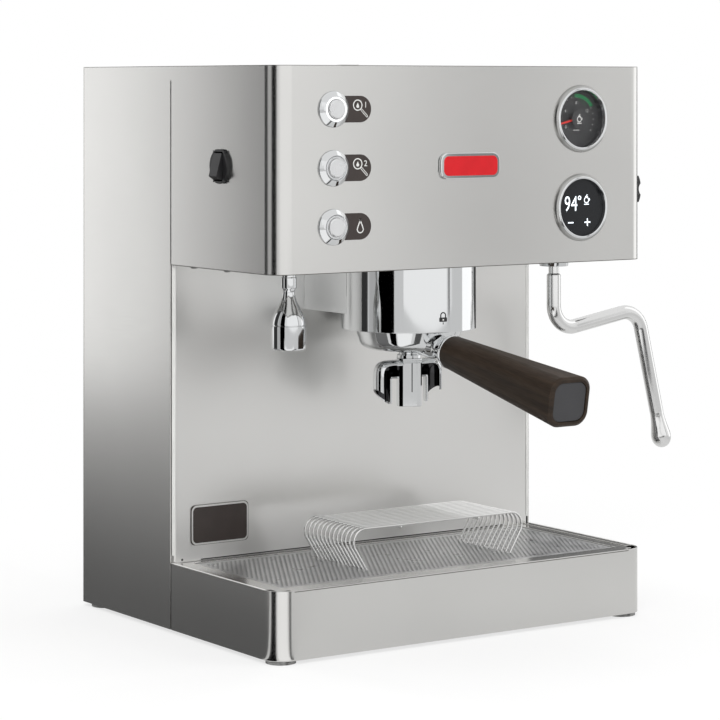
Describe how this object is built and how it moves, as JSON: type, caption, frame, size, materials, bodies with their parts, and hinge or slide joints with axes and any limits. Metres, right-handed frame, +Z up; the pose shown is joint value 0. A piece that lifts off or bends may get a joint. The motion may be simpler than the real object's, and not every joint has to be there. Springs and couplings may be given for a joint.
{
  "type": "espresso machine",
  "caption": "Home espresso machine in brushed steel: portafilter group, push buttons, gauge and display, steam wand, hot water tap, drip tray with cup riser and lift-out tank.",
  "frame": {"origin": "centre of the body's footprint on the counter, between the feet", "axes": "+Z up, -Y towards the user (the front panel), +X to the user's right as they face the machine"},
  "size_m": [0.3815, 0.3719, 0.3898],
  "materials": {
    "brushed_steel": "brushed stainless steel, fine grain",
    "plain_steel": "plain zinc-bright steel",
    "chrome": "polished chrome",
    "boiler_steel": "satin stainless steel",
    "brass": "machined brass",
    "copper": "drawn copper",
    "rubber": "matt black rubber",
    "foot_plastic": "pale grey foot mouldings",
    "clear_hose": "clear silicone",
    "black_plastic": "fine-grained black",
    "coil_plastic": "black coil mouldings",
    "screen": "glossy black screen",
    "clear_glass": "clear gauge glass",
    "light_ring": "frosted white",
    "label": "dark grey-brown metal foil",
    "red_enamel": "bare red enamel",
    "walnut": "dark oiled walnut",
    "cap_plastic": "dark grey",
    "button_cap": "satin button cap",
    "needle_red": "red pointer",
    "white_seal": "white PTFE",
    "tank_plastic": "smoke-clear plastic"
  },
  "bodies": {
    "housing": {"outer_shell": "brushed_steel", "base_frame": "brushed_steel", "floor_pan": "plain_steel", "feet": "foot_plastic", "backsplash": "brushed_steel", "head_floor": "brushed_steel", "top_panel": "brushed_steel", "rear_panel": "brushed_steel", "tank_bay": "plain_steel", "fasteners": "plain_steel", "group_collar": "chrome", "group_shroud": "chrome", "group_body": "brass", "group_gasket": "rubber", "shower_screen": "chrome", "coffee_boiler": "brass", "steam_boiler": "boiler_steel", "heating_elements": "plain_steel", "pressure_valves": "brass", "solenoid_valves": "coil_plastic", "pump_body": "coil_plastic", "pump_mounts": "rubber", "pipes": "copper", "hoses": "clear_hose", "control_box": "black_plastic", "power_inlet": "black_plastic", "hot_water_tap": "chrome", "steam_valve": "brass", "wand_nut": "chrome", "instrument_rings": "chrome", "gauge_case": "black_plastic", "gauge_glass": "clear_glass", "display_case": "black_plastic", "display_glass": "screen", "button_switches": "chrome", "light_rings": "light_ring", "label_plates": "label", "badge": "red_enamel", "rocker_case": "black_plastic"},
    "portafilter": {"portafilter": "chrome", "spout": "chrome", "filter_basket": "chrome", "handle_grip": "walnut", "handle_cap": "cap_plastic"},
    "one_cup_button": {"one_cup_button": "button_cap"},
    "two_cup_button": {"two_cup_button": "button_cap"},
    "water_button": {"water_button": "button_cap"},
    "power_rocker": {"power_rocker": "black_plastic"},
    "steam_knob": {"steam_knob": "black_plastic"},
    "valve_needle": {"valve_needle": "brass"},
    "wand_seat": {"wand_seat": "white_seal"},
    "steam_wand": {"steam_wand": "chrome", "wand_tip": "chrome"},
    "gauge_needle": {"gauge_needle": "needle_red"},
    "pump_plunger": {"pump_plunger": "plain_steel"},
    "drip_tray": {"drip_tray": "brushed_steel"},
    "drip_grid": {"drip_grid": "brushed_steel"},
    "cup_riser": {"cup_riser": "chrome"},
    "water_tank": {"water_tank": "tank_plastic"},
    "tank_lid": {"tank_lid": "brushed_steel"}
  },
  "joints": [
    {"name": "portafilter_turn", "type": "hinge", "parent": "housing", "child": "portafilter", "pos_m": [0, -0.059, 0.212], "axis": [0, 0, 1], "range_deg": [-50, 0]},
    {"name": "one_cup_button_press", "type": "slide", "parent": "housing", "child": "one_cup_button", "axis": [0, 1, 0], "range_m": [0, 0.0015], "stiffness_N_per_m": 1200, "springref_m": -0.001},
    {"name": "two_cup_button_press", "type": "slide", "parent": "housing", "child": "two_cup_button", "axis": [0, 1, 0], "range_m": [0, 0.0015], "stiffness_N_per_m": 1200, "springref_m": -0.001},
    {"name": "water_button_press", "type": "slide", "parent": "housing", "child": "water_button", "axis": [0, 1, 0], "range_m": [0, 0.0015], "stiffness_N_per_m": 1200, "springref_m": -0.001},
    {"name": "power_rocker_tip", "type": "hinge", "parent": "housing", "child": "power_rocker", "pos_m": [-0.155, -0.062, 0.321], "axis": [0, -1, 0], "range_deg": [0, 24]},
    {"name": "steam_knob_turn", "type": "hinge", "parent": "housing", "child": "steam_knob", "pos_m": [0.155, -0.079, 0.3], "axis": [1, 0, 0], "range_deg": [0, 540]},
    {"name": "valve_needle_slide", "type": "slide", "parent": "housing", "child": "valve_needle", "axis": [1, 0, 0], "range_m": [0, 0.002]},
    {"name": "wand_swivel", "type": "hinge", "parent": "housing", "child": "wand_seat", "pos_m": [0.1125, -0.079, 0.257], "axis": [0, 0, 1], "range_deg": [-110, 30]},
    {"name": "wand_tilt", "type": "hinge", "parent": "wand_seat", "child": "steam_wand", "pos_m": [0.1125, -0.079, 0.257], "axis": [0, 1, 0], "range_deg": [-15, 8]},
    {"name": "gauge_needle_turn", "type": "hinge", "parent": "housing", "child": "gauge_needle", "pos_m": [0.0968, -0.126, 0.3516], "axis": [0, 1, 0], "range_deg": [0, 240], "stiffness_Nm_per_rad": 0.0005, "springref_deg": -11.46},
    {"name": "pump_stroke", "type": "slide", "parent": "housing", "child": "pump_plunger", "axis": [1, 0, 0], "range_m": [-0.004, 0.004], "stiffness_N_per_m": 3000},
    {"name": "tray_lift", "type": "slide", "parent": "housing", "child": "drip_tray", "axis": [0, 0, 1], "range_m": [0, 0.045]},
    {"name": "grid_lift", "type": "slide", "parent": "drip_tray", "child": "drip_grid", "axis": [0, 0, 1], "range_m": [0, 0.012]},
    {"name": "riser_lift", "type": "slide", "parent": "drip_grid", "child": "cup_riser", "axis": [0, 0, 1], "range_m": [0, 0.012]},
    {"name": "tank_lift", "type": "slide", "parent": "housing", "child": "water_tank", "axis": [0, 0, 1], "range_m": [0, 0.235]},
    {"name": "lid_lift", "type": "slide", "parent": "water_tank", "child": "tank_lid", "axis": [0, 0, 1], "range_m": [0, 0.06]}
  ],
  "couplings": [
    {"joint": "valve_needle_slide", "follows": "steam_knob_turn", "m_per_rad": 0.0002}
  ]
}
